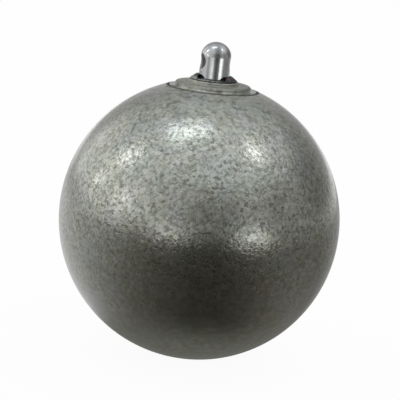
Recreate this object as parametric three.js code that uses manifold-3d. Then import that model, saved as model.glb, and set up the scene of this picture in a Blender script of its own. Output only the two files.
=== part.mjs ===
// The head of a throwing hammer: a solid steel ball with a ball-bearing swivel screwed into its top.
// The wire of the hammer loops through the eye, which turns freely in the ball.
// Lengths are in millimetres and angles in degrees. +Z runs up the swivel's axis, and the origin is
// the ball's lowest point.
import * as THREE from 'three';
import { mergeVertices } from 'three/addons/utils/BufferGeometryUtils.js';
import Module from 'manifold-3d';

const wasm = await Module();
wasm.setup();

// Clearances between pieces
const seatGap = 0.1;
const fitGap = 0.15;
const runningGap = 0.2;
const cutOverrun = 1;

// Ball
const ballDiameter = 120;
const edgeBreak = 0.4;

// Swivel eye and its shank
const shankRadius = 6;
const eyeShoulder = 0.5;
const eyeBodyHeight = 9.3;
const eyeHoleRadius = 2.95;
const eyeHoleRound = 1.2;
const eyeHoleDrop = 2;
const shankChamfer = 0.8;
const threadReliefWidth = 1.6;
const threadReliefDepth = 0.7;
const spindleTail = 1.2;

// Thrust bearing
const raceWidth = 8;
const raceThickness = 4;
const raceEdge = 0.4;
const looseBoreGap = 0.5;
const bearingBallRadius = 2.2;
const grooveDepthShare = 0.45;
const cageBridge = 0.45;
const cageFaceGap = 0.45;

// Bearing cap
const capLip = 2.4;
const flangeLip = 2.1;
const flangeLand = 2.5;
const flangeThickness = 3;
const flangeStandout = 0.1;
const capGroove = 0.4;
const capPlugLength = 16;
const capChamfer = 0.8;
const capReliefWidth = 1.8;
const capReliefDepth = 0.6;
const bossHeight = 1.93;
const bossRound = 1.1;
const neckMargin = 0.9;
const neckHeight = 1.3;
const neckRound = 0.35;
const spannerRadiusShare = 0.32;
const spannerDepth = 1.6;

// Guide bush
const bushWall = 1.7;
const bushChamfer = 0.3;

// Dust seal
const sealReach = 3.3;
const sealHeight = 1.86;
const sealSlotWidth = 8.6;
const sealSlotFloor = 0.45;
const sealSlotAngle = -28;
const sealOutlineShares = [
  [0, 0], [0.28, 0], [0.46, 0.12], [0.74, 0], [1, 0], [1, 0.16], [0.36, 0.97], [0.28, 1], [0, 1], [0, 0],
];

// Thrust washer, castle nut and split pin
const washerWidth = 5.5;
const washerThickness = 1.5;
const nutFlats = 19;
const nutBodyHeight = 8;
const crownInset = 0.8;
const crownMargin = 0.5;
const pinRadius = 1.5;
const pinWireShare = 0.5;
const pinHeadRadius = 1.9;
const pinLegAngle = 42;

// Pocket and trim bore in the ball
const pocketClearance = 1.2;
const pocketHeadroom = 3;
const pocketCorner = 1.5;
const threadRunout = 1.5;
const trimRadius = 8;
const trimLength = 16;
const trimChamfer = 0.5;
const plugLedge = 0.9;
const plugThickness = 6;
const plugSocketFlats = 6;
const plugSocketDepth = 3.5;
const drillPointAngle = 59;

// Facets
const ballFacets = 56;
const lowerSphereSteps = 12;
const upperSphereSteps = 10;
const innerFacets = 28;
const eyeFacets = 32;
const sealFacets = 40;
const smallFacets = 12;
const roundSteps = 3;
const hexagonSides = 6;
const crownSlots = 6;
const ballFacesRound = 10;
const ballRings = 6;

// Radii that follow from the sizes above
const ballRadius = ballDiameter / 2;
const eyeRadius = shankRadius + eyeShoulder;
const raceOuterRadius = shankRadius + raceWidth;
const pitchRadius = shankRadius + raceWidth / 2;
const grooveRadius = bearingBallRadius + fitGap;
const grooveDepth = bearingBallRadius * grooveDepthShare;
const grooveOffset = grooveRadius - grooveDepth;
const capThreadRadius = raceOuterRadius + seatGap + capLip;
const flangeRadius = capThreadRadius + flangeLip;
const bossRadius = flangeRadius - flangeLand;
const neckRadius = eyeRadius + sealReach + neckMargin;
const recessRadius = flangeRadius + capGroove;
const capBoreRadius = capThreadRadius + fitGap;
const bushInnerRadius = shankRadius + runningGap;
const bushOuterRadius = bushInnerRadius + bushWall;
const crownRadius = nutFlats / 2 - crownInset;
const pinWireRadius = pinRadius * pinWireShare;
const pinReach = crownRadius + fitGap + 2 * (pinHeadRadius + pinWireRadius);
const pocketRadius = Math.max(raceOuterRadius, pinReach) + pocketClearance;
const trimBoreRadius = trimRadius + seatGap;
const plugRadius = trimBoreRadius + plugLedge;
const plugBoreRadius = plugRadius + seatGap;

// Levels above the ball's lowest point, from the cap downwards
const rimLevel = ballRadius + Math.sqrt(ballRadius ** 2 - recessRadius ** 2);
const flangeTop = rimLevel + flangeStandout;
const flangeBottom = flangeTop - flangeThickness;
const flangeSeat = flangeBottom - seatGap;
const bossTop = flangeTop + bossHeight;
const neckTop = bossTop + neckHeight;
const capBottom = flangeBottom - capPlugLength;
const raceSeat = capBottom + raceThickness;
const upperRaceLevel = raceSeat - seatGap - raceThickness;
const bearingBallLevel = upperRaceLevel - grooveOffset;
const lowerRaceLevel = bearingBallLevel - grooveOffset;
const washerTop = lowerRaceLevel - raceThickness - seatGap;
const nutTop = washerTop - washerThickness - seatGap;
const crownHeight = 2 * (pinRadius + fitGap) + crownMargin;
const pinLevel = nutTop - nutBodyHeight - crownHeight / 2;
const spindleBottom = pinLevel - crownHeight / 2 - spindleTail;
const pocketFloor = spindleBottom - pocketHeadroom;
const plugLedgeLevel = pocketFloor - plugThickness - seatGap;
const trimTop = plugLedgeLevel - seatGap;
const trimFloor = trimTop - trimLength - seatGap;

// Levels upwards from the cap
const shoulderLevel = neckTop + runningGap;
const domeLevel = shoulderLevel + eyeBodyHeight;
const eyeHoleLevel = domeLevel - eyeHoleDrop;

// Finishes, each with its colour, roughness and metalness
const hammertonePaint = { color: 0x8f9085, roughness: 0.42, metalness: 0.55 };
const chromePlate = { color: 0xd8dadd, roughness: 0.08, metalness: 1 };
const blackRubber = { color: 0x17181a, roughness: 0.8, metalness: 0 };
const bearingSteel = { color: 0xb4b8bd, roughness: 0.2, metalness: 1 };
const sinteredBronze = { color: 0xa8763c, roughness: 0.45, metalness: 1 };
const cageBrass = { color: 0xc09a4a, roughness: 0.35, metalness: 1 };
const zincPlate = { color: 0xa9adb0, roughness: 0.4, metalness: 1 };
const castLead = { color: 0x5e6268, roughness: 0.7, metalness: 0.8 };

// Points of an arc about a centre given by its radius and height.
function arc(centreRadius, centreHeight, size, from, to, steps) {
  const points = [];
  for (let step = 0; step <= steps; step += 1) {
    const angle = THREE.MathUtils.degToRad(from + ((to - from) * step) / steps);
    points.push([centreRadius + size * Math.cos(angle), centreHeight + size * Math.sin(angle)]);
  }
  return points;
}

// Revolves an outline of [radius, height] points about the Z axis.
function revolve(points, facets) {
  const outline = points.map(([radius, height]) => new THREE.Vector2(radius, height));
  return new THREE.LatheGeometry(outline, facets).rotateX(Math.PI / 2);
}

// A plain cylinder along Z that stands on the given level.
function rod(radius, level, height, facets) {
  const geometry = new THREE.CylinderGeometry(radius, radius, height, facets);
  return geometry.rotateX(Math.PI / 2).translate(0, 0, level + height / 2);
}

// A ring with broken edges, standing on the level zero.
function ring(innerRadius, outerRadius, height, chamfer, facets) {
  return revolve([
    [innerRadius, 0],
    [outerRadius - chamfer, 0],
    [outerRadius, chamfer],
    [outerRadius, height - chamfer],
    [outerRadius - chamfer, height],
    [innerRadius, height],
    [innerRadius, 0],
  ], facets);
}

// Turns a closed geometry into a solid that can be joined and cut.
function toSolid(geometry) {
  const bare = geometry.clone();
  bare.deleteAttribute('normal');
  bare.deleteAttribute('uv');
  const merged = mergeVertices(bare);
  const corners = [];
  const index = merged.index.array;
  for (let i = 0; i < index.length; i += 3) {
    const [a, b, c] = [index[i], index[i + 1], index[i + 2]];
    if (a !== b && b !== c && c !== a) {
      corners.push(a, b, c);
    }
  }
  return new wasm.Manifold(new wasm.Mesh({
    numProp: 3,
    vertProperties: new Float32Array(merged.attributes.position.array),
    triVerts: new Uint32Array(corners),
  }));
}

// Turns a solid back into a geometry.
function toGeometry(solid) {
  const { vertProperties, triVerts } = solid.getMesh();
  const geometry = new THREE.BufferGeometry();
  geometry.setAttribute('position', new THREE.BufferAttribute(vertProperties, 3));
  geometry.setIndex(new THREE.BufferAttribute(triVerts, 1));
  geometry.computeVertexNormals();
  return geometry;
}

// Cuts each of the tools out of a geometry.
function cut(geometry, tools) {
  return toGeometry(tools.reduce((solid, tool) => solid.subtract(toSolid(tool)), toSolid(geometry)));
}

// Joins geometries that reach into each other.
function join(geometries) {
  return toGeometry(geometries.map(toSolid).reduce((whole, solid) => whole.add(solid)));
}

// One named piece with a material of its own.
function piece(name, geometry, finish) {
  const mesh = new THREE.Mesh(geometry, new THREE.MeshStandardMaterial(finish));
  mesh.name = name;
  return mesh;
}

// The turned ball: a recess for the cap's flange, its thread, the bearing pocket, and the trim bore
// with its drill point below.
function headBall() {
  const rimAngle = THREE.MathUtils.radToDeg(Math.asin((rimLevel - ballRadius) / ballRadius));
  const drillPoint = trimBoreRadius / Math.tan(THREE.MathUtils.degToRad(drillPointAngle));
  const outline = [
    [0, 0],
    ...arc(0, ballRadius, ballRadius, -90, 0, lowerSphereSteps).slice(1),
    ...arc(0, ballRadius, ballRadius, 0, rimAngle, upperSphereSteps).slice(1),
    [recessRadius, flangeSeat],
    [capBoreRadius + capChamfer, flangeSeat],
    [capBoreRadius, flangeSeat - capChamfer],
    [capBoreRadius, capBottom - threadRunout],
    [pocketRadius, capBottom - threadRunout],
    ...arc(pocketRadius - pocketCorner, pocketFloor + pocketCorner, pocketCorner, 0, -90, roundSteps),
    [plugBoreRadius + edgeBreak, pocketFloor],
    [plugBoreRadius, pocketFloor - edgeBreak],
    [plugBoreRadius, plugLedgeLevel],
    [trimBoreRadius, plugLedgeLevel],
    [trimBoreRadius, trimFloor],
    [0, trimFloor - drillPoint],
  ];
  return piece('head_ball', revolve(outline, ballFacets), hammertonePaint);
}

// The flanged cap that holds the bearing down, with its boss, its neck and two pin-spanner holes.
function bearingCap() {
  const bore = bushOuterRadius + seatGap;
  const lipBore = raceOuterRadius + seatGap;
  const reliefRadius = capThreadRadius - capReliefDepth;
  const body = revolve([
    [bore, raceSeat],
    [lipBore, raceSeat],
    [lipBore, capBottom],
    [capThreadRadius - capChamfer, capBottom],
    [capThreadRadius, capBottom + capChamfer],
    [capThreadRadius, flangeBottom - capReliefWidth],
    [reliefRadius, flangeBottom - capReliefWidth + capReliefDepth],
    [reliefRadius, flangeBottom],
    [flangeRadius, flangeBottom],
    [flangeRadius, flangeTop - edgeBreak],
    [flangeRadius - edgeBreak, flangeTop],
    [bossRadius, flangeTop],
    ...arc(bossRadius - bossRound, bossTop - bossRound, bossRound, 0, 90, roundSteps),
    [neckRadius, bossTop],
    ...arc(neckRadius - neckRound, neckTop - neckRound, neckRound, 0, 90, roundSteps),
    [bore, neckTop],
    [bore, raceSeat],
  ], ballFacets);
  const land = bossRadius - bossRound - neckRadius;
  const spannerRadius = land * spannerRadiusShare;
  const spannerCircle = neckRadius + land / 2;
  const holes = [-1, 1].map((side) => rod(
    spannerRadius,
    bossTop - spannerDepth,
    spannerDepth + cutOverrun,
    smallFacets,
  ).translate(side * spannerCircle, 0, 0));
  return piece('bearing_cap', cut(body, holes), hammertonePaint);
}

// The plain bronze bush that guides the shank through the cap.
function guideBush() {
  const height = neckTop - raceSeat - seatGap;
  const mesh = piece(
    'guide_bush',
    ring(bushInnerRadius, bushOuterRadius, height, bushChamfer, innerFacets),
    sinteredBronze,
  );
  mesh.position.z = raceSeat + seatGap;
  return mesh;
}

// The rubber lip seal that sits on the eye and keeps grit out of the bush. A slot across its top
// leaves it high at two sides and low between them.
function dustSeal() {
  const innerRadius = eyeRadius + seatGap;
  const width = sealReach - seatGap;
  const outline = sealOutlineShares.map(([across, up]) => [innerRadius + across * width, up * sealHeight]);
  const slot = new THREE.BoxGeometry(sealSlotWidth, 4 * neckRadius, sealHeight)
    .translate(0, 0, sealSlotFloor + sealHeight / 2)
    .rotateZ(THREE.MathUtils.degToRad(sealSlotAngle));
  const mesh = piece('dust_seal', cut(revolve(outline, sealFacets), [slot]), blackRubber);
  mesh.position.z = shoulderLevel;
  return mesh;
}

// The tool for the cross hole of the eye: a bore along X whose two mouths open out in a round.
function eyeHoleTool() {
  const mouth = eyeRadius + seatGap;
  const flareStart = mouth - eyeHoleRound;
  const flare = [];
  for (let step = 0; step <= roundSteps; step += 1) {
    const angle = (Math.PI / 2) * (step / roundSteps);
    const along = flareStart + eyeHoleRound * Math.sin(angle);
    flare.push([eyeHoleRadius + eyeHoleRound * (1 - Math.cos(angle)), along]);
  }
  const half = [...flare, [eyeHoleRadius + eyeHoleRound, mouth + cutOverrun]];
  const mirrored = half.map(([radius, along]) => [radius, -along]).reverse();
  const outline = [[0, -mouth - cutOverrun], ...mirrored, ...half, [0, mouth + cutOverrun]];
  return revolve(outline, 2 * smallFacets).rotateY(Math.PI / 2).translate(0, 0, eyeHoleLevel);
}

// The chromed eye in one piece with its shank, which carries the thread for the castle nut.
function swivelEye() {
  const threadTop = nutTop + washerThickness;
  const outline = [
    [0, spindleBottom],
    [shankRadius - shankChamfer, spindleBottom],
    [shankRadius, spindleBottom + shankChamfer],
    [shankRadius, threadTop - threadReliefWidth],
    [shankRadius - threadReliefDepth, threadTop - threadReliefWidth + threadReliefDepth],
    [shankRadius - threadReliefDepth, threadTop - threadReliefDepth],
    [shankRadius, threadTop],
    [shankRadius, shoulderLevel],
    [eyeRadius, shoulderLevel],
    ...arc(0, domeLevel, eyeRadius, 0, 90, 3 * roundSteps).slice(0, -1),
    [0, domeLevel + eyeRadius],
  ];
  const pinHole = rod(pinRadius + fitGap, -2 * shankRadius, 4 * shankRadius, smallFacets)
    .rotateY(Math.PI / 2)
    .translate(0, 0, pinLevel);
  return piece('swivel_eye', cut(revolve(outline, eyeFacets), [eyeHoleTool(), pinHole]), chromePlate);
}

// A race of the thrust bearing, standing on its grooved face.
function raceGeometry(boreRadius) {
  const edgeAngle = THREE.MathUtils.radToDeg(Math.asin(grooveOffset / grooveRadius));
  return revolve([
    [boreRadius + raceEdge, 0],
    ...arc(pitchRadius, -grooveOffset, grooveRadius, 180 - edgeAngle, edgeAngle, 2 * roundSteps),
    [raceOuterRadius - raceEdge, 0],
    [raceOuterRadius, raceEdge],
    [raceOuterRadius, raceThickness - raceEdge],
    [raceOuterRadius - raceEdge, raceThickness],
    [boreRadius, raceThickness],
    [boreRadius, raceEdge],
    [boreRadius + raceEdge, 0],
  ], innerFacets);
}

// The still race under the cap.
function upperRace() {
  const mesh = piece('upper_race', raceGeometry(shankRadius + looseBoreGap), bearingSteel);
  mesh.position.z = upperRaceLevel;
  return mesh;
}

// The race that turns with the shank, groove upwards.
function lowerRace() {
  const mesh = piece('lower_race', raceGeometry(shankRadius + fitGap), bearingSteel);
  mesh.rotation.x = Math.PI;
  mesh.position.z = lowerRaceLevel;
  return mesh;
}

// The balls and their brass cage, which roll between the two races.
function ballSet() {
  const set = new THREE.Group();
  const pocketHoleRadius = bearingBallRadius + fitGap;
  const innerRadius = pitchRadius - pocketHoleRadius - cageBridge;
  const outerRadius = pitchRadius + pocketHoleRadius + cageBridge;
  const thickness = 2 * (grooveOffset - cageFaceGap);
  const halfPitch = Math.asin((pocketHoleRadius + cageBridge / 2) / pitchRadius);
  const count = Math.floor(Math.PI / halfPitch);
  const places = Array.from({ length: count }, (_, i) => {
    const angle = (2 * Math.PI * i) / count;
    return [pitchRadius * Math.cos(angle), pitchRadius * Math.sin(angle)];
  });
  const pockets = places.map(([x, y]) => rod(
    pocketHoleRadius,
    -cutOverrun,
    thickness + 2 * cutOverrun,
    smallFacets,
  ).translate(x, y, 0));
  const blank = ring(innerRadius, outerRadius, thickness, raceEdge / 2, innerFacets);
  const cage = piece('ball_cage', cut(blank, pockets), cageBrass);
  cage.position.z = -thickness / 2;
  set.add(cage);
  places.forEach(([x, y], i) => {
    const ball = piece(
      `bearing_ball_${String(i + 1).padStart(2, '0')}`,
      new THREE.SphereGeometry(bearingBallRadius, ballFacesRound, ballRings),
      bearingSteel,
    );
    ball.position.set(x, y, 0);
    set.add(ball);
  });
  set.position.z = bearingBallLevel;
  return set;
}

// The hardened washer between the lower race and the nut.
function thrustWasher() {
  const geometry = ring(
    shankRadius + fitGap,
    shankRadius + washerWidth,
    washerThickness,
    raceEdge,
    innerFacets,
  );
  const mesh = piece('thrust_washer', geometry, zincPlate);
  mesh.position.z = washerTop - washerThickness;
  return mesh;
}

// The castle nut, crown downwards, with its corners turned off and six slots in its crown.
function castleNut() {
  const cornerRadius = nutFlats / 2 / Math.cos(Math.PI / hexagonSides);
  const cornerDrop = (cornerRadius - nutFlats / 2) * Math.tan(Math.PI / 6);
  const height = nutBodyHeight + crownHeight;
  const hexagon = toSolid(rod(cornerRadius, crownHeight, nutBodyHeight, hexagonSides));
  const turned = toSolid(revolve([
    [0, 0],
    [nutFlats / 2, crownHeight],
    [cornerRadius, crownHeight + cornerDrop],
    [cornerRadius, height - cornerDrop],
    [nutFlats / 2, height],
    [0, height],
  ], innerFacets));
  const crown = toSolid(rod(crownRadius, 0, crownHeight + edgeBreak, innerFacets));
  const tools = [rod(shankRadius + fitGap, -cutOverrun, height + 2 * cutOverrun, innerFacets)];
  const slotWidth = 2 * (pinRadius + fitGap);
  for (let pair = 0; pair < crownSlots / 2; pair += 1) {
    const slot = new THREE.BoxGeometry(4 * crownRadius, slotWidth, crownHeight + cutOverrun);
    slot.translate(0, 0, (crownHeight - cutOverrun) / 2).rotateZ((2 * Math.PI * pair) / crownSlots);
    tools.push(slot);
  }
  const nut = tools.reduce(
    (solid, tool) => solid.subtract(toSolid(tool)),
    hexagon.intersect(turned).add(crown),
  );
  const mesh = piece('castle_nut', toGeometry(nut), zincPlate);
  mesh.position.z = nutTop - height;
  return mesh;
}

// The split pin through the crown and the shank: its eye on one side, and its two legs bent round
// the crown on the other.
function splitPin() {
  const headCentre = crownRadius + fitGap + pinHeadRadius + pinWireRadius;
  const legPathRadius = crownRadius + fitGap + pinWireRadius;
  const shaftStart = -headCentre + pinHeadRadius;
  const shaft = rod(pinRadius, shaftStart, legPathRadius - shaftStart, smallFacets)
    .rotateY(Math.PI / 2);
  const head = new THREE.TorusGeometry(pinHeadRadius, pinWireRadius, smallFacets / 2, smallFacets)
    .translate(-headCentre, 0, 0);
  const wire = new THREE.Shape();
  wire.absarc(0, 0, pinWireRadius, 0, 2 * Math.PI);
  const legs = [-1, 1].map((side) => {
    const path = new THREE.CatmullRomCurve3(
      arc(0, 0, legPathRadius, 0, side * pinLegAngle, roundSteps).map(([x, y]) => new THREE.Vector3(x, y, 0)),
    );
    const settings = { steps: 2 * roundSteps, curveSegments: smallFacets / 3, extrudePath: path };
    return new THREE.ExtrudeGeometry(wire, settings);
  });
  const mesh = piece('split_pin', join([shaft, head, ...legs]), zincPlate);
  mesh.position.z = pinLevel;
  return mesh;
}

// The lead slug that brings the head to its weight.
function trimWeight() {
  const mesh = piece('trim_weight', revolve([
    [0, 0],
    [trimRadius - trimChamfer, 0],
    [trimRadius, trimChamfer],
    [trimRadius, trimLength - trimChamfer],
    [trimRadius - trimChamfer, trimLength],
    [0, trimLength],
  ], innerFacets), castLead);
  mesh.position.z = trimTop - trimLength;
  return mesh;
}

// The threaded plug that holds the slug still, with a hexagon socket in its top.
function trimPlug() {
  const blank = revolve([
    [0, 0],
    [plugRadius - trimChamfer, 0],
    [plugRadius, trimChamfer],
    [plugRadius, plugThickness - trimChamfer],
    [plugRadius - trimChamfer, plugThickness],
    [0, plugThickness],
  ], innerFacets);
  const socket = rod(
    plugSocketFlats / 2 / Math.cos(Math.PI / hexagonSides),
    plugThickness - plugSocketDepth,
    plugSocketDepth + cutOverrun,
    hexagonSides,
  );
  const mesh = piece('trim_plug', cut(blank, [socket]), zincPlate);
  mesh.position.z = pocketFloor - plugThickness;
  return mesh;
}

const head = new THREE.Group();
head.add(headBall(), bearingCap(), guideBush(), upperRace(), trimWeight(), trimPlug());

const spindle = new THREE.Group();
spindle.add(swivelEye(), dustSeal(), lowerRace(), thrustWasher(), castleNut(), splitPin());

const hammerHead = new THREE.Group();
hammerHead.add(head, spindle, ballSet());

export default hammerHead;
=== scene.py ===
"""Looks of the head of a throwing hammer: a painted steel ball with a swivelling chromed eye.

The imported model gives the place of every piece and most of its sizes. Lengths are in metres, +Z runs up the
swivel's axis, and the ball's lowest point is the origin. The inner pieces, which the ball hides, are finished
like the ones that show.
"""

import logging
import math
from dataclasses import asdict, dataclass, field
from enum import Enum
from typing import Any, Callable, ClassVar, Iterable, Sequence

import bpy
from bpy.types import Material, Mesh, Node, NodeSocket, NodeTree, Object
from mathutils import Matrix, Vector


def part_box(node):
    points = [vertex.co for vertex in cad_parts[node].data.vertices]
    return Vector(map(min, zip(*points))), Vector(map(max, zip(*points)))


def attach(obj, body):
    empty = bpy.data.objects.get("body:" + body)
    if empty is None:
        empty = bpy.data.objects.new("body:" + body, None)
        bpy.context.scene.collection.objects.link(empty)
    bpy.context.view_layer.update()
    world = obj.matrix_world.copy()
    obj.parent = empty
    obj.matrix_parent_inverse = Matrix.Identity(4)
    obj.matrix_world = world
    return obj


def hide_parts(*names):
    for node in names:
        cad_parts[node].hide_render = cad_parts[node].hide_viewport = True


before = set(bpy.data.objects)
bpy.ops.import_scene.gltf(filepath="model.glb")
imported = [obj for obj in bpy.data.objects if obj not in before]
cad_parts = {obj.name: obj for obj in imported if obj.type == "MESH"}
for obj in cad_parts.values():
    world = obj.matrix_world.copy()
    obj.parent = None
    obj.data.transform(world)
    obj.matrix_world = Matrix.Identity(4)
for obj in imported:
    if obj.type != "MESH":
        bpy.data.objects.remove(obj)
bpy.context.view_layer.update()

log = logging.getLogger("hammer_head")

MM = 0.001
AXIS = 0.0
CLOSE = 1e-6
ROUNDING_STEPS = 6
THREAD_ROWS = 10
THREAD_CREST, THREAD_FLANK = 0.12, 1.35
SHARP_ANGLE = math.radians(32)
QUARTER_TURN = math.pi / 2
HEX_SIDES, HEX_HALF = 6, math.pi / 6
FULL_DEGREES, RIGHT_DEGREES, STRAIGHT_AHEAD = 360, 90, 0.5

Pair = tuple[float, float]
Point = tuple[float, float]
Place = tuple[float, float, float]
Colour = tuple[float, float, float]

# A corner of a turned outline: its distance from the axis, its height and, if it is rounded, the radius
Corner = tuple[float, ...]

WHITE: Colour = (1.0, 1.0, 1.0)


class Carrier(Enum):
    """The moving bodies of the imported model."""

    HEAD = "head"
    SPINDLE = "spindle"
    CAGE = "cage"


class Slot(Enum):
    """The record's material slots."""

    PAINT = "hammertone_paint"
    CHROME = "chrome_plate"
    RUBBER = "black_rubber"
    STEEL = "bearing_steel"
    BRONZE = "sintered_bronze"
    BRASS = "cage_brass"
    ZINC = "zinc_plate"
    LEAD = "cast_lead"


# Every slot's finish, once it is built
LOOKS: dict[Slot, Material] = {}


class Action(Enum):
    """How one mesh acts on another."""

    CUT = "DIFFERENCE"
    JOIN = "UNION"
    SHARE = "INTERSECT"


# Node trees, for materials and for shapes


def arithmetic(operation: str, swapped: bool = False) -> Callable[["Signal", Any], "Signal"]:
    """An operator of a signal that adds a Math node, with its two sides swapped if need be."""

    def act(one: "Signal", other: Any) -> "Signal":
        """Applies the operation."""
        return one.graph.maths(operation, *((other, one) if swapped else (one, other)))

    return act


class Signal:
    """A socket that carries a number, on which arithmetic adds Math nodes."""

    __add__ = __radd__ = arithmetic("ADD")
    __sub__, __rsub__ = arithmetic("SUBTRACT"), arithmetic("SUBTRACT", swapped=True)
    __mul__ = __rmul__ = arithmetic("MULTIPLY")
    __truediv__ = arithmetic("DIVIDE")

    def __init__(self, graph: "Graph", socket: NodeSocket) -> None:
        """Wraps a socket of a graph."""
        self.graph = graph
        self.socket = socket


class Graph:
    """A node tree that is written as expressions."""

    def __init__(self, tree: NodeTree) -> None:
        """Wraps an empty tree."""
        self.tree = tree

    def node(self, kind: str, sockets: dict[str | int, Any] | None = None, **settings: Any) -> Node:
        """Adds a node.

        Args:
            kind: the node's type.
            sockets: the values or links of its inputs, by identifier, name or place.
            settings: its properties.

        Returns:
            The node.
        """
        made = self.tree.nodes.new(kind)
        for name, value in settings.items():
            setattr(made, name, value)
        for key, value in (sockets or {}).items():
            self._feed(self.find(made.inputs, key), value)
        return made

    def maths(self, operation: str, *values: Any, clamp: bool = False) -> Signal:
        """One Math node on values or signals."""
        made = self.node("ShaderNodeMath", dict(enumerate(values)), operation=operation, use_clamp=clamp)
        return Signal(self, made.outputs[0])

    def most(self, first: Any, second: Any) -> Signal:
        """The larger of two numbers."""
        return self.maths("MAXIMUM", first, second)

    def length(self, *parts: Signal) -> Signal:
        """The length of a line from its parts along the axes."""
        total = parts[0] * parts[0]
        for part in parts[1:]:
            total = total + part * part
        return self.maths("SQRT", total)

    def smooth(self, value: Signal, low: Any, high: Any) -> Signal:
        """Nought below low, one above high, and smooth in between."""
        sockets = {"Value": value, "From Min": low, "From Max": high}
        return Signal(self, self.node("ShaderNodeMapRange", sockets, interpolation_type="SMOOTHSTEP").outputs[0])

    def mix(self, share: Any, first: Any, second: Any) -> NodeSocket:
        """The first colour, and by that share the second."""
        sockets = {"Factor_Float": share, "A_Color": first, "B_Color": second}
        return self.find(self.node("ShaderNodeMix", sockets, data_type="RGBA").outputs, "Result_Color")

    def ramp(self, value: Signal, stops: Sequence[tuple[float, Colour]]) -> NodeSocket:
        """A colour that follows a value from nought to one through a few stops."""
        made = self.node("ShaderNodeValToRGB", {"Fac": value})
        elements = made.color_ramp.elements
        elements[0].position, elements[-1].position = stops[0][0], stops[-1][0]
        elements[0].color, elements[-1].color = (*stops[0][1], 1.0), (*stops[-1][1], 1.0)
        for position, colour in stops[1:-1]:
            elements.new(position).color = (*colour, 1.0)
        return made.outputs["Color"]

    def split(self, vector: Any) -> tuple[Signal, Signal, Signal]:
        """The three parts of a vector."""
        x, y, z = (Signal(self, output) for output in self.node("ShaderNodeSeparateXYZ", {0: vector}).outputs)
        return x, y, z

    def bundle(self, x: Any, y: Any, z: Any) -> NodeSocket:
        """A vector from its three parts."""
        return self.node("ShaderNodeCombineXYZ", {0: x, 1: y, 2: z}).outputs[0]

    def vectors(self, operation: str, *values: Any) -> NodeSocket:
        """One Vector Math node on vectors."""
        return self.node("ShaderNodeVectorMath", dict(enumerate(values)), operation=operation).outputs[0]

    def scaled(self, vector: Any, factor: Any) -> NodeSocket:
        """A vector times a number."""
        return self.node("ShaderNodeVectorMath", {"Vector": vector, "Scale": factor}, operation="SCALE").outputs[0]

    def along(self, vector: Any, direction: Any) -> Signal:
        """How far a vector reaches along a direction."""
        made = self.node("ShaderNodeVectorMath", {0: vector, 1: direction}, operation="DOT_PRODUCT")
        return Signal(self, made.outputs["Value"])

    def end(self, kind: str, shader: Node) -> None:
        """Closes the tree of a material or a world with its shader."""
        self.node(f"ShaderNodeOutput{kind}", {"Surface": shader.outputs[0]})

    @staticmethod
    def find(sockets: Any, key: str | int) -> NodeSocket:
        """A socket by its identifier, name or place."""
        if isinstance(key, int):
            return sockets[key]
        named = [socket for socket in sockets if socket.identifier == key]
        return named[0] if named else sockets[key]

    def _feed(self, socket: NodeSocket, value: Any) -> None:
        """Links a signal or a socket, or sets a plain value."""
        if isinstance(value, Signal):
            value = value.socket
        if isinstance(value, NodeSocket):
            self.tree.links.new(value, socket)
        elif socket.type == "RGBA" and len(value) == 3:
            socket.default_value = (*value, 1.0)
        else:
            socket.default_value = value


def emptied(owner: Any) -> NodeTree:
    """The node tree of a material or a world, without nodes."""
    owner.use_nodes = True
    owner.node_tree.nodes.clear()
    return owner.node_tree


# Finishes


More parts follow.
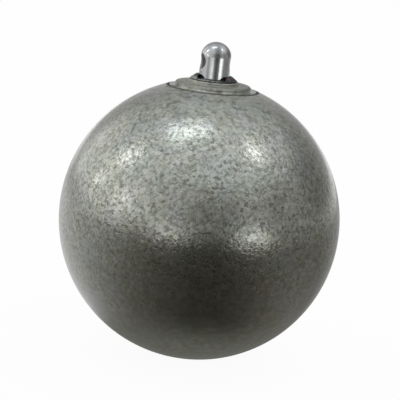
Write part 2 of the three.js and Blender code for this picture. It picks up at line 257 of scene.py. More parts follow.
class Shader(Graph):
    """The nodes of one material, with the patterns that the finishes share."""

    def __init__(self, slot: Slot) -> None:
        """Starts the material of a slot."""
        LOOKS[slot] = bpy.data.materials.new(slot.value)
        super().__init__(emptied(LOOKS[slot]))
        self.place = self.node("ShaderNodeTexCoord").outputs["Object"]

    def noise(self, size: float, detail: float = 2.0, place: Any = None) -> Signal:
        """A soft noise from nought to one, whose features have that size."""
        sockets = {"Vector": place or self.place, "Scale": 1 / size, "Detail": detail}
        return Signal(self, self.node("ShaderNodeTexNoise", sockets).outputs["Fac"])

    def patches(self, low: float, high: float, *noise: Any) -> Signal:
        """Soft patches: nought where a noise is below low, and one where it is above high."""
        return self.smooth(self.noise(*noise), low, high)

    def warped(self, size: float, reach: float) -> NodeSocket:
        """The place, pushed about by a noise of that size and that reach."""
        noise = self.node("ShaderNodeTexNoise", {"Vector": self.place, "Scale": 1 / size, "Detail": 1.0})
        centred = self.vectors("SUBTRACT", noise.outputs["Color"], (0.5, 0.5, 0.5))
        return self.vectors("ADD", self.place, self.scaled(centred, 2 * reach))

    def cells(self, size: float, place: Any = None) -> tuple[Signal, Signal]:
        """Voronoi cells.

        Args:
            size: the width of a cell.
            place: where the pattern is read.

        Returns:
            The distance to the cell's edge, as a share of its width, and a number that each cell keeps.
        """
        sockets = {"Vector": place or self.place, "Scale": 1 / size}
        edge = self.node("ShaderNodeTexVoronoi", sockets, feature="DISTANCE_TO_EDGE")
        cell = self.node("ShaderNodeTexVoronoi", sockets, feature="F1")
        return Signal(self, edge.outputs["Distance"]), self.split(cell.outputs["Color"])[0]

    def stretched(self, x: float, y: float, z: float) -> NodeSocket:
        """The place, with each axis drawn in by its factor."""
        return self.vectors("MULTIPLY", self.place, (x, y, z))

    def around(self) -> tuple[Signal, Signal]:
        """The distance from the swivel's axis, and the height."""
        x, y, z = self.split(self.place)
        return self.length(x, y), z

    def turning_lines(self, size: float) -> Signal:
        """Fine lines that run round the axis."""
        radius, height = self.around()
        return self.noise(size, 2.0, self.bundle(radius, AXIS, height))

    def near(self, value: Signal, centre: float, reach: float) -> Signal:
        """One where a value is at a centre, and nought beyond its reach."""
        return 1 - self.smooth(self.maths("ABSOLUTE", value - centre), 0.0, reach)

    def spot(self, centre: Place, reach: float) -> Signal:
        """One at a point, and nought beyond its reach."""
        distance = self.length(*self.split(self.vectors("SUBTRACT", self.place, centre)))
        return 1 - self.smooth(distance, 0.0, reach)

    def bumped(self, height: Signal, relief: float) -> NodeSocket:
        """A surface normal for a height from nought to one, which stands for that relief."""
        return self.node("ShaderNodeBump", {"Height": height, "Distance": relief}).outputs["Normal"]

    def finish(self, **sockets: Any) -> None:
        """Closes the material with a Principled shader, whose inputs are named with underscores."""
        named = {name.replace("_", " ").title(): value for name, value in sockets.items()}
        self.end("Material", self.node("ShaderNodeBsdfPrincipled", named))


@dataclass(frozen=True)
class Hammertone:
    """Hammered paint: silver flake in small raised tiles, with short dark marks between them.

    Painted shade lies in the groove round the cap, heaviest on one side, and on the cap's rounded edge. The tiles
    are fainter near the ball's bottom and on the cap, and the paint is mottled under the cap.
    """

    groove_radius: float
    groove_level: float
    # Where the cap's rounded edge lies, which is darkened with painted shade
    edge_radius: float
    edge_level: float
    silver: Colour = (0.62, 0.625, 0.556)
    olive: Colour = (0.34, 0.345, 0.26)
    cool: Colour = (0.52, 0.52, 0.56)
    green: Colour = (0.42, 0.48, 0.42)
    mark: Colour = (0.09, 0.09, 0.07)
    # The colour of the painted shade in the groove round the cap
    dirt: Colour = (0.05, 0.047, 0.038)
    tile: float = 1.9 * MM
    patch: float = 11 * MM
    relief: float = 0.068 * MM
    groove_shade_reach: float = 1.6 * MM
    edge_reach: float = 1.1 * MM
    # Where the painted shade at one end of the groove lies, and how far it spreads
    groove_end_shade_place: Place = (-18.4 * MM, -2.6 * MM, 117.4 * MM)
    groove_end_shade_reach: float = 6 * MM
    plain_levels: tuple[float, float, float, float] = (14 * MM, 76 * MM, 104 * MM, 117 * MM)
    mottled_level: float = 113 * MM
    mottled_reach: float = 15 * MM

    def build(self) -> None:
        """Builds the paint."""
        s = Shader(Slot.PAINT)
        radius, height = s.around()
        low, middle, high, cap = self.plain_levels
        strong = 0.1 + 0.9 * s.smooth(height, low, middle) - 0.65 * s.smooth(height, high, cap)
        edge, lot = s.cells(self.tile, s.warped(1.5 * MM, 1.1 * MM))
        uneven = s.patches(0.35, 0.65, 2.0 * MM, 1.0)
        gaps = (1 - s.smooth(edge, 0.0, 0.3)) * (0.05 + 0.85 * uneven)
        specks = s.patches(0.49, 0.7, 1.6 * MM, 1.2)
        dark = s.most(gaps * 0.85, specks) * strong * 0.74
        flake = s.noise(1.7 * MM, 1.5)
        paint = s.mix(0.5 * lot + 1.2 * flake - 0.3, self.olive, self.silver)
        paint = s.mix(0.45 * s.patches(0.4, 0.75, self.patch, 1.0), paint, self.cool)
        greenish = s.patches(0.4, 0.75, 0.9 * self.patch, 1.0, s.warped(20 * MM, 15 * MM))
        paint = s.mix(0.45 * greenish, paint, self.green)
        mottled = s.patches(0.47, 0.66, 3.0 * MM, 2.5)
        mottled = mottled * s.near(height, self.mottled_level, self.mottled_reach)
        on_cap = s.smooth(height, self.groove_level, self.groove_level + 1 * MM)
        paint = s.mix(s.most(s.most(dark, 0.7 * mottled), 0.22 * on_cap), paint, self.mark)
        ragged = s.noise(2.4 * MM, 3.0)
        # Painted shade in the groove round the cap and at one end of it, where the paint is also made dull
        by_groove = s.near(radius, self.groove_radius, self.groove_shade_reach)
        by_groove = by_groove * s.near(height, self.groove_level, self.groove_shade_reach)
        groove_shade = s.smooth(by_groove * (0.75 + 0.6 * ragged), 0.4, 0.7)
        groove_end_shade = s.smooth(s.spot(self.groove_end_shade_place, self.groove_end_shade_reach) * (0.3 + 1.4 * ragged), 0.3, 0.6)
        groove_shade = s.most(groove_shade, 0.75 * groove_end_shade)
        paint = s.mix(groove_shade * 0.75, paint, self.dirt)
        # Painted shade on the cap's rounded edge, in the colour of the dark marks
        edge_shade = s.near(radius, self.edge_radius, self.edge_reach) * s.near(height, self.edge_level, self.edge_reach)
        height_map = (0.45 * s.smooth(edge, 0.0, 0.5) - 0.45 * specks + 0.2 * flake) * strong
        s.finish(
            base_color=s.mix(edge_shade * (0.25 + 0.35 * ragged), paint, self.mark),
            metallic=0.97 - 0.6 * groove_shade,
            roughness=s.most(0.19 + 0.14 * dark + 0.06 * flake + 0.26 * on_cap, groove_shade * 0.8),
            coat_weight=(1 - groove_shade) * (1 - 0.8 * on_cap),
            coat_roughness=0.12,
            normal=s.bumped(height_map, self.relief),
        )


@dataclass(frozen=True)
class Chrome:
    """Polished chrome plate with faint turning marks, smears and a streak of painted dark reflection, worn dull by
    the wire in its hole.
    """

    bore_level: float
    bright: Colour = (0.57, 0.575, 0.58)
    smeared: Colour = (0.4, 0.4, 0.39)
    # A painted dark reflection: its colour, and the streak up the eye's dome where it lies
    greased: Colour = (0.15, 0.15, 0.145)
    dark_reflection_side: Place = (-0.983, 0.184, 0.0)
    dark_reflection_width: float = 2.2 * MM
    dark_reflection_level: float = 132.4 * MM
    dark_reflection_reach: float = 4.9 * MM
    worn: Colour = (0.3, 0.3, 0.29)
    bore_radius: float = 3.1 * MM

    def build(self) -> None:
        """Builds the plate."""
        s = Shader(Slot.CHROME)
        smear = s.patches(0.42, 0.72, 3.5 * MM, 3.0)
        streaks = s.noise(0.5 * MM, 3.0, s.stretched(1.0, 1.0, 0.16))
        marks = s.noise(0.16 * MM, 2.0, s.stretched(0.12, 0.12, 1.0))
        pits = 1 - s.smooth(s.cells(1.3 * MM)[0], 0.0, 0.03)
        tarnish = smear * s.smooth(streaks, 0.35, 0.75)
        # A streak of painted dark reflection up the dome, on a plane through the axis
        sideways = s.along(s.place, self.dark_reflection_side) + 1.2 * MM * (streaks - 0.5)
        _, y, z = s.split(s.place)
        greased = s.near(sideways, 0.0, self.dark_reflection_width) * s.near(z, self.dark_reflection_level, self.dark_reflection_reach)
        bore_place = s.length(y, z - self.bore_level)
        worn = 1 - s.smooth(bore_place, self.bore_radius, self.bore_radius + 0.5 * MM)
        plate = s.mix(greased * 0.85, s.mix(tarnish * 0.7, self.bright, self.smeared), self.greased)
        s.finish(
            base_color=s.mix(worn, plate, self.worn),
            metallic=1 - 0.6 * worn,
            roughness=0.07 + 0.13 * tarnish + 0.05 * marks + 0.05 * pits + 0.35 * worn,
            normal=s.bumped(0.7 * s.noise(2.6 * MM, 1.0) + 0.12 * streaks + 0.05 * marks, 0.02 * MM),
        )


@dataclass(frozen=True)
class Rubber:
    """Moulded black rubber, dusty in places, with a stain of rust, and paler grey on one side of its lip."""

    pale_side_radius: float
    black: Colour = (0.014, 0.014, 0.015)
    dust: Colour = (0.085, 0.08, 0.072)
    rust: Colour = (0.26, 0.04, 0.015)
    mist: Colour = (0.27, 0.28, 0.25)
    pale_side_ends: Pair = (-3 * MM, 2 * MM)
    stain_place: Place = (4.4 * MM, -6.9 * MM, 121.5 * MM)
    stain_reach: float = 1.3 * MM

    def build(self) -> None:
        """Builds the rubber."""
        s = Shader(Slot.RUBBER)
        grain = s.noise(0.22 * MM, 3.0)
        dusty = s.patches(0.48, 0.75, 1.6 * MM, 3.0)
        rusty = s.smooth(s.spot(self.stain_place, self.stain_reach) + 0.5 * s.noise(0.8 * MM), 0.5, 0.8)
        # Paler grey in patches on the outer lip, on one side only
        pale_side = s.smooth(s.around()[0], self.pale_side_radius, self.pale_side_radius + 0.7 * MM)
        pale_side = pale_side * (1 - s.smooth(s.split(s.place)[0], *self.pale_side_ends))
        pale_side = pale_side * s.patches(0.3, 0.5, 1.2 * MM, 3.0)
        colour = s.mix(pale_side * 0.85, s.mix(dusty * 0.55, self.black, self.dust), self.mist)
        s.finish(
            base_color=s.mix(rusty * 0.85, colour, self.rust),
            roughness=0.36 + 0.3 * dusty + 0.14 * grain,
            normal=s.bumped(grain * 0.6 + dusty * 0.4, 0.03 * MM),
        )


@dataclass(frozen=True)
class GroundSteel:
    """Hardened bearing steel, ground round the axis and filmed with grease."""

    steel: Colour = (0.56, 0.57, 0.59)
    grease: Colour = (0.42, 0.37, 0.26)

    def build(self) -> None:
        """Builds the steel."""
        s = Shader(Slot.STEEL)
        lines = s.turning_lines(0.08 * MM)
        film = s.patches(0.45, 0.7, 3.0 * MM, 3.0)
        s.finish(
            base_color=s.mix(film * 0.6, self.steel, self.grease),
            metallic=1.0,
            roughness=0.16 + 0.1 * lines + 0.16 * film,
            coat_weight=0.5 * film,
            coat_roughness=0.12,
            normal=s.bumped(lines, 0.004 * MM),
        )


@dataclass(frozen=True)
class Bronze:
    """Sintered bronze: dull, with dark open pores that hold its oil."""

    bronze: Colour = (0.5, 0.32, 0.15)
    pore: Colour = (0.12, 0.07, 0.035)

    def build(self) -> None:
        """Builds the bronze."""
        s = Shader(Slot.BRONZE)
        edge, lot = s.cells(0.28 * MM)
        pores = s.smooth(edge, 0.16, 0.4) * s.smooth(lot, 0.62, 0.8)
        mottled = s.noise(2.0 * MM, 3.0)
        s.finish(
            base_color=s.mix(s.most(pores, 0.35 * mottled), self.bronze, self.pore),
            metallic=1.0,
            roughness=0.42 + 0.25 * pores + 0.1 * mottled,
            normal=s.bumped(1 - pores, 0.02 * MM),
        )


@dataclass(frozen=True)
class Brass:
    """Turned cage brass, satin and stained."""

    brass: Colour = (0.66, 0.49, 0.2)
    tarnish: Colour = (0.35, 0.22, 0.08)

    def build(self) -> None:
        """Builds the brass."""
        s = Shader(Slot.BRASS)
        lines = s.turning_lines(0.07 * MM)
        stained = s.patches(0.5, 0.75, 1.8 * MM, 3.0)
        s.finish(
            base_color=s.mix(stained * 0.6 + 0.15 * lines, self.brass, self.tarnish),
            metallic=1.0,
            roughness=0.26 + 0.14 * lines + 0.12 * stained,
            normal=s.bumped(lines, 0.006 * MM),
        )


@dataclass(frozen=True)
class Zinc:
    """Bright zinc plate with a faint straw and blue cast, and dull where it blooms."""

    blue: Colour = (0.46, 0.5, 0.56)
    straw: Colour = (0.56, 0.52, 0.4)
    bloomed: Colour = (0.55, 0.55, 0.53)

    def build(self) -> None:
        """Builds the plate."""
        s = Shader(Slot.ZINC)
        cast = s.patches(0.35, 0.65, 4.0 * MM)
        bloom = s.patches(0.58, 0.75, 1.1 * MM, 4.0)
        s.finish(
            base_color=s.mix(bloom * 0.7, s.mix(cast, self.blue, self.straw), self.bloomed),
            metallic=0.95 - 0.6 * bloom,
            roughness=0.3 + 0.3 * bloom + 0.08 * cast,
            normal=s.bumped(s.noise(0.3 * MM, 3.0), 0.006 * MM),
        )


@dataclass(frozen=True)
class Lead:
    """Cast lead: soft, dull and mottled by its oxide."""

    grey: Colour = (0.2, 0.21, 0.23)
    oxide: Colour = (0.36, 0.36, 0.36)

    def build(self) -> None:
        """Builds the lead."""
        s = Shader(Slot.LEAD)
        bloom = s.patches(0.4, 0.7, 2.5 * MM, 4.0)
        s.finish(
            base_color=s.mix(bloom, self.grey, self.oxide),
            metallic=0.8 - 0.4 * bloom,
            roughness=0.5 + 0.3 * bloom,
            normal=s.bumped(s.noise(0.6 * MM, 3.0), 0.04 * MM),
        )


# Outlines and meshes


def arc(across: float, up: float, size: float, start: float, end: float, steps: int) -> list[Corner]:
    """Points of an arc about a centre, between two angles in degrees."""
    angles = (math.radians(start + (end - start) * step / steps) for step in range(steps + 1))
    return [(across + size * math.cos(angle), up + size * math.sin(angle)) for angle in angles]


def ring(inner: float, outer: float, low: float, high: float, edge: float = 0.0) -> list[Corner]:
    """The outline of a plain ring with rounded edges."""
    return [(inner, low, edge), (outer, low, edge), (outer, high, edge), (inner, high, edge)]


def rounded(corners: Sequence[Corner], closed: bool = False) -> list[Point]:
    """Draws an outline through corners.

    Args:
        corners: the corners in order, with the metal on their left.
        closed: whether the last corner joins the first.

    Returns:
        The outline's points.
    """
    made: list[Point] = []
    count = len(corners)
    for index, (across, up, *rounding) in enumerate(corners):
        size = sum(rounding)
        if size <= 0 or (not closed and index in (0, count - 1)):
            made.append((across, up))
            continue
        here, before, after = (Vector(corners[i][:2]) for i in (index, index - 1, (index + 1) % count))
        back, ahead = (before - here).normalized(), (after - here).normalized()
        half = back.angle(ahead) / 2
        reach = size / math.tan(half)
        centre = here + (back + ahead).normalized() * (size / math.sin(half))
        first, last = here + back * reach - centre, here + ahead * reach - centre
        start = math.atan2(first.y, first.x)
        sweep = math.remainder(math.atan2(last.y, last.x) - start, math.tau)
        angles = (start + sweep * step / ROUNDING_STEPS for step in range(ROUNDING_STEPS + 1))
        made.extend((centre.x + size * math.cos(angle), centre.y + size * math.sin(angle)) for angle in angles)
    return made


def meshed(name: str, points: Sequence[Place], faces: Sequence[tuple[int, ...]]) -> Mesh:
    """A mesh from its points and faces."""
    mesh = bpy.data.meshes.new(name)
    mesh.from_pydata(points, [], faces)
    return mesh


def lathe(name: str, outline: Sequence[Point], facets: int, closed: bool = False) -> Mesh:
    """Revolves an outline about the swivel's axis.

    Args:
        name: the mesh's name.
        outline: points of distance from the axis and height, with the metal on their left.
        facets: how many flats go round.
        closed: whether the outline closes on itself, as a ring's does.

    Returns:
        The mesh.
    """
    points: list[Place] = []
    rings: list[list[int]] = []
    for across, up in outline:
        start = len(points)
        if across < CLOSE:
            points.append((0.0, 0.0, up))
        else:
            turns = (math.tau * index / facets for index in range(facets))
            points.extend((across * math.cos(turn), across * math.sin(turn), up) for turn in turns)
        rings.append(list(range(start, len(points))))
    faces = []
    for low, high in zip(rings, rings[1:] + (rings[:1] if closed else [])):
        for index in range(facets):
            after = (index + 1) % facets
            corners = (low[index % len(low)], low[after % len(low)])
            corners += (high[after % len(high)], high[index % len(high)])
            faces.append(tuple(dict.fromkeys(corners)))
    return meshed(name, points, faces)


def turned(name: str, corners: Sequence[Corner], facets: int) -> Mesh:
    """A turned solid, whose outline runs from axis to axis, or a ring, whose outline closes on itself."""
    closed = corners[0][0] > CLOSE
    return lathe(name, rounded(corners, closed), facets, closed)


def prism(name: str, outline: Sequence[Point], length: float) -> Mesh:
    """A bar along Y, centred on the axis, whose cross-section is an outline of X and height."""
    count = len(outline)
    points = [(x, side * length / 2, up) for side in (-1, 1) for x, up in outline]
    sides = [(i, count + i, count + (i + 1) % count, (i + 1) % count) for i in range(count)]
    return meshed(name, points, [tuple(range(count)), tuple(range(2 * count - 1, count - 1, -1)), *sides])


def moved(mesh: Mesh, angle: float = 0.0, about: str = "Z", x: float = 0.0, z: float = 0.0) -> Mesh:
    """Turns a mesh about an axis of the frame, and then shifts it along X and up."""
    mesh.transform(Matrix.Translation((x, AXIS, z)) @ Matrix.Rotation(angle, 4, about))
    return mesh


def placed(name: str, data: Any) -> Object:
    """Puts a mesh, a camera or a lamp into the scene as an object at the origin."""
    made = bpy.data.objects.new(name, data)
    bpy.context.scene.collection.objects.link(made)
    return made


def evaluated(holder: Object) -> Mesh:
    """The plain mesh that an object's modifiers leave; the object itself goes."""
    graph = bpy.context.evaluated_depsgraph_get()
    mesh = bpy.data.meshes.new_from_object(holder.evaluated_get(graph))
    bpy.data.objects.remove(holder)
    return mesh


def combined(base: Mesh, tools: Iterable[Mesh], action: Action) -> Mesh:
    """Cuts tools out of a mesh, joins them to it, or keeps what they share."""
    holder = placed("base", base)
    others = [placed("tool", tool) for tool in tools]
    for other in others:
        modifier = holder.modifiers.new("combine", "BOOLEAN")
        modifier.operation, modifier.solver, modifier.object = action.value, "MANIFOLD", other
    mesh = evaluated(holder)
    for other in others:
        bpy.data.objects.remove(other)
    return mesh


class ShapeTree(Graph):
    """A Geometry Nodes tree with named inputs, which runs once and leaves a plain mesh."""

    def __init__(self, name: str, **values: float) -> None:
        """Starts a tree that takes a geometry and gives one back.

        Args:
            name: the tree's name.
            values: what its inputs, named with underscores, are set to.
        """
        super().__init__(bpy.data.node_groups.new(name, "GeometryNodeTree"))
        new_socket = self.tree.interface.new_socket
        for way in ("OUTPUT", "INPUT"):
            new_socket(name="Geometry", in_out=way, socket_type="NodeSocketGeometry")
        self.values: dict[str, float] = {}
        for label, value in values.items():
            kind = "NodeSocketInt" if isinstance(value, int) else "NodeSocketFloat"
            made = new_socket(name=label.replace("_", " ").title(), in_out="INPUT", socket_type=kind)
            self.values[made.identifier] = value
        entry = self.node("NodeGroupInput").outputs
        self.given = entry["Geometry"]
        self.inputs = [Signal(self, self.find(entry, identifier)) for identifier in self.values]
        self.place = self.node("GeometryNodeInputPosition").outputs[0]

    def run(self, result: Node, slot: Slot, source: Mesh | None = None) -> Mesh:
        """Closes the tree and runs it.

        Args:
            result: the node whose geometry it ends in.
            slot: the slot whose finish its faces are dressed in.
            source: the mesh that the tree is given, if it needs one.

        Returns:
            The mesh that it leaves.
        """
        real = self.node("GeometryNodeRealizeInstances", {"Geometry": result.outputs[0]})
        dressed = self.node("GeometryNodeSetMaterial", {"Geometry": real.outputs[0], "Material": LOOKS[slot]})
        self.node("NodeGroupOutput", {0: dressed.outputs[0]})
        holder = placed(self.tree.name, source or bpy.data.meshes.new(self.tree.name))
        modifier = holder.modifiers.new(self.tree.name, "NODES")
        modifier.node_group = self.tree
        for identifier, value in self.values.items():
            modifier[identifier] = value
        return evaluated(holder)


@dataclass(frozen=True)
class Thread:
    """A screw thread that is cut into a straight turned wall."""

    wall: float
    low: float
    high: float
    pitch: float
    depth: float
    runout: float = 0.8 * MM
    reach: float = 0.02 * MM

    def rows(self, upwards: bool = True) -> list[Corner]:
        """The wall's points, which stand close enough together for the thread."""
        start, end = (self.low, self.high) if upwards else (self.high, self.low)
        count = max(1, round(abs(end - start) / (self.pitch / THREAD_ROWS)))
        return [(self.wall, start + (end - start) * row / count) for row in range(count + 1)]

    def cut_into(self, mesh: Mesh, slot: Slot) -> Mesh:
        """Moves the wall's points inwards along a helix, with flats at its crests and roots."""
        tree = ShapeTree("thread", **asdict(self))
        radius, low, high, pitch, depth, runout, reach = tree.inputs
        x, y, z = tree.split(tree.place)
        phase = tree.maths("FRACT", z / pitch - tree.maths("ARCTAN2", y, x) / math.tau)
        flank = tree.maths("ABSOLUTE", phase * 2 - 1)
        groove = tree.maths("MULTIPLY", flank - THREAD_CREST, THREAD_FLANK, clamp=True)
        on_wall = tree.maths("LESS_THAN", tree.maths("ABSOLUTE", tree.length(x, y) - radius), reach)
        rising = tree.maths("DIVIDE", z - low, runout, clamp=True)
        falling = tree.maths("DIVIDE", high - z, runout, clamp=True)
        inwards = tree.scaled(tree.vectors("NORMALIZE", tree.bundle(x, y, AXIS)), -1.0)
        move = tree.scaled(inwards, depth * groove * on_wall * rising * falling)
        sockets = {"Geometry": tree.given, "Offset": move}
        return tree.run(tree.node("GeometryNodeSetPosition", sockets), slot, mesh)


# Sub-assemblies


def span(node: str) -> tuple[float, float, float]:
    """A turned node's radius, and its lowest and highest level."""
    low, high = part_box(node)
    return high.x, low.z, high.z


class SubAssembly:
    """Finished pieces that move with one body."""

    carrier: ClassVar[Carrier]

    def add(self, name: str, mesh: Mesh, slot: Slot, *nodes: str) -> None:
        """Dresses a piece in its slot's finish and puts it on the body.

        Args:
            name: the piece's name.
            mesh: its mesh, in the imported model's frame.
            slot: the record's slot for its finish.
            nodes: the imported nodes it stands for.
        """
        mesh.materials.clear()
        mesh.materials.append(LOOKS[slot])
        mesh.shade_smooth()
        mesh.set_sharp_from_angle(angle=SHARP_ANGLE)
        piece, carrier = placed(name, mesh), self.carrier
        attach(piece, carrier.value)
        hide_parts(*nodes)
        triangles = sum(len(polygon.vertices) - 2 for polygon in mesh.polygons)
        log.info("%s on %s, %d triangles", name, carrier.value, triangles)


@dataclass
class Bearing:
    """The sizes that the two races and the ball set share."""

    shank_radius: float = 6 * MM
    ball_gap: float = 0.15 * MM
    edge: float = 0.4 * MM
    facets: int = 144
    groove_steps: int = 18

    def __post_init__(self) -> None:
        """Works out the balls' radius and level, and the radius of the circle that they run on."""
        race_radius, race_bottom, _ = span("upper_race")
        self.pitch_radius = (self.shank_radius + race_radius) / 2
        self.ball_level = (race_bottom + span("lower_race")[2]) / 2
        _, low, high = span("bearing_ball_01")
        self.ball_radius = (high - low) / 2

    def race(self, node: str, bore: float, grooved_on_top: bool) -> Mesh:
        """A race.

        Args:
            node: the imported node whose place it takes.
            bore: the radius of its bore.
            grooved_on_top: whether its groove opens upwards.

        Returns:
            The mesh.
        """
        outer, low, high = span(node)
        size = self.ball_radius + self.ball_gap
        face = high if grooved_on_top else low
        slope = math.degrees(math.asin(abs(face - self.ball_level) / size))
        ends = (-slope, slope - 180) if grooved_on_top else (180 - slope, slope)
        groove = arc(self.pitch_radius, self.ball_level, size, *ends, self.groove_steps)
        corners = ring(bore, outer, low, high, self.edge)
        before = 3 if grooved_on_top else 1
        return turned(node, corners[:before] + groove + corners[before:], self.facets)


@dataclass
class Head(SubAssembly):
    """The painted ball, the cap that is screwed into it, and the still pieces inside them."""

    carrier = Carrier.HEAD

    facets: int = 240
    inner_facets: int = 96
    globe_steps: int = 150
    seat_gap: float = 0.1 * MM
    fit_gap: float = 0.15 * MM
    edge: float = 0.3 * MM
    thread_pitch: float = 1.5 * MM
    flange_standout: float = 0.1 * MM
    flange_thickness: float = 3 * MM
    flange_land: float = 2.5 * MM
    flange_lip: float = 2.1 * MM
    cap_groove: float = 0.4 * MM
    cap_chamfer: float = 0.8 * MM
    cap_relief: float = 0.9 * MM
    cap_thread_depth: float = 0.85 * MM
    boss_height: float = 1.93 * MM
    boss_rounding: float = 1.3 * MM
    neck_margin: float = 0.9 * MM
    neck_rounding: float = 0.6 * MM
    spanner_share: float = 0.32
    spanner_depth: float = 1.6 * MM
    thread_runout: float = 1.5 * MM
    pocket_clearance: float = 1.2 * MM
    pocket_headroom: float = 3 * MM
    pocket_rounding: float = 1.5 * MM
    bush_bore: float = 6.2 * MM
    oil_groove: float = 0.35 * MM
    upper_bore: float = 6.5 * MM
    plug_thread_depth: float = 0.7 * MM
    plug_edge: float = 0.5 * MM
    socket_flats: float = 6 * MM
    socket_depth: float = 3.5 * MM
    drill_point: float = math.radians(59)
    slug_sink: float = 0.5 * MM
    slug_shares: tuple[Pair, ...] = ((0.75, 0.0), (0.4, 0.8), (0.0, 1.0))

    def __post_init__(self) -> None:
        """Works out the radii and levels that several pieces share."""
        self.ball_radius, _, self.rim = span("head_ball")
        self.flange_radius, self.cap_bottom, self.neck_top = span("bearing_cap")
        self.flange_top = self.rim + self.flange_standout
        self.flange_bottom = self.flange_top - self.flange_thickness
        self.boss_top = self.flange_top + self.boss_height
        self.boss_radius = self.flange_radius - self.flange_land
        self.neck_radius = span("dust_seal")[0] + self.neck_margin
        self.recess_radius = self.flange_radius + self.cap_groove
        self.cap_thread_radius = self.flange_radius - self.flange_lip

    def paint(self) -> Hammertone:
        """The paint, which knows where the groove and the cap's edge are."""
        # The middle of the cap's rounded edge, where its painted shade goes
        edge_shade_inset = self.boss_rounding / 2
        edge = (self.boss_radius - edge_shade_inset, self.boss_top - edge_shade_inset)
        return Hammertone(self.recess_radius + self.seat_gap, self.rim, *edge)

    def build(self) -> None:
        """Builds every piece that stands still."""
        race = Bearing().race("upper_race", self.upper_bore, grooved_on_top=False)
        self.add("painted_ball", self.ball(), Slot.PAINT, "head_ball")
        self.add("painted_cap", self.cap(), Slot.PAINT, "bearing_cap")
        self.add("bronze_bush", self.bush(), Slot.BRONZE, "guide_bush")
        self.add("still_race", race, Slot.STEEL, "upper_race")
        self.add("lead_slug", self.slug(), Slot.LEAD, "trim_weight")
        self.add("socket_plug", self.plug(), Slot.ZINC, "trim_plug")

    def ball(self) -> Mesh:
        """The turned ball, with the recess and thread for the cap and the bearing's pocket."""
        rim_angle = math.degrees(math.asin((self.rim - self.ball_radius) / self.ball_radius))
        globe = arc(AXIS, self.ball_radius, self.ball_radius, -90, rim_angle, self.globe_steps)
        seat, wall = self.flange_bottom - self.seat_gap, self.cap_thread_radius + self.fit_gap
        ends = (self.cap_bottom, seat - self.cap_chamfer)
        thread = Thread(wall, *ends, self.thread_pitch, self.cap_thread_depth)
        thread_end = self.cap_bottom - self.thread_runout
        pocket_radius = self.pocket_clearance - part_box("split_pin")[0].x
        pocket_floor = span("swivel_eye")[1] - self.pocket_headroom
        plug_thread = self.plug_thread(self.seat_gap)
        plug_seat = span("trim_plug")[1] - self.seat_gap
        slug_radius, slug_bottom, _ = span("trim_weight")
        bore, bore_floor = slug_radius + self.seat_gap, slug_bottom - self.seat_gap
        outline = [
            *globe[:-1], (self.recess_radius, self.rim, self.edge), (self.recess_radius, seat),
            (wall + self.cap_chamfer, seat), *thread.rows(upwards=False), (wall, thread_end),
            (pocket_radius, thread_end), (pocket_radius, pocket_floor, self.pocket_rounding),
            (plug_thread.wall + self.plug_edge, pocket_floor), *plug_thread.rows(upwards=False),
            (plug_thread.wall, plug_seat), (bore, plug_seat), (bore, bore_floor),
            (AXIS, bore_floor - bore / math.tan(self.drill_point)),
        ]
        body = thread.cut_into(turned("painted_ball", outline, self.facets), Slot.PAINT)
        return plug_thread.cut_into(body, Slot.PAINT)

    def plug_thread(self, gap: float = 0.0) -> Thread:
        """The thread of the trim plug, or with a gap that of its bore."""
        radius, low, high = span("trim_plug")
        ends = (low + self.plug_edge, high - self.plug_edge)
        return Thread(radius + gap, *ends, self.thread_pitch, self.plug_thread_depth)

    def plug(self) -> Mesh:
        """The threaded plug with its hexagon socket, whose mouth is countersunk."""
        radius, low, high = span("trim_plug")
        thread, edge = self.plug_thread(), self.plug_edge
        outline = [(AXIS, low), (radius - edge, low), *thread.rows(), (radius - edge, high), (AXIS, high)]
        body = thread.cut_into(turned("socket_plug", outline, self.inner_facets), Slot.ZINC)
        corner, over = self.socket_flats / 2 / math.cos(HEX_HALF), high + self.edge
        socket = turned("socket", ring(AXIS, corner, high - self.socket_depth, over), HEX_SIDES)
        sink = [(AXIS, high - edge), (corner - edge, high - edge), (corner + self.edge, over), (AXIS, over)]
        return combined(body, [socket, turned("sink", sink, self.inner_facets)], Action.CUT)

    def slug(self) -> Mesh:
        """The lead slug, whose top sank a little as it set."""
        radius, low, high = span("trim_weight")
        edge = self.plug_edge
        dish = [(share * radius, high - sunk * self.slug_sink, edge) for share, sunk in self.slug_shares]
        return turned("lead_slug", [(AXIS, low), (radius, low, edge), (radius, high, edge), *dish], self.inner_facets)

    def bush(self) -> Mesh:
        """The bush, with a shallow oil groove round the middle of its bore."""
        radius, low, high = span("guide_bush")
        middle, bore, deep = (low + high) / 2, self.bush_bore, self.oil_groove
        groove = [
            (bore, middle + 2 * deep), (bore + deep, middle + deep), (bore + deep, middle - deep),
            (bore, middle - 2 * deep),
        ]
        return turned("bronze_bush", ring(bore, radius, low, high, self.edge) + groove, self.inner_facets)

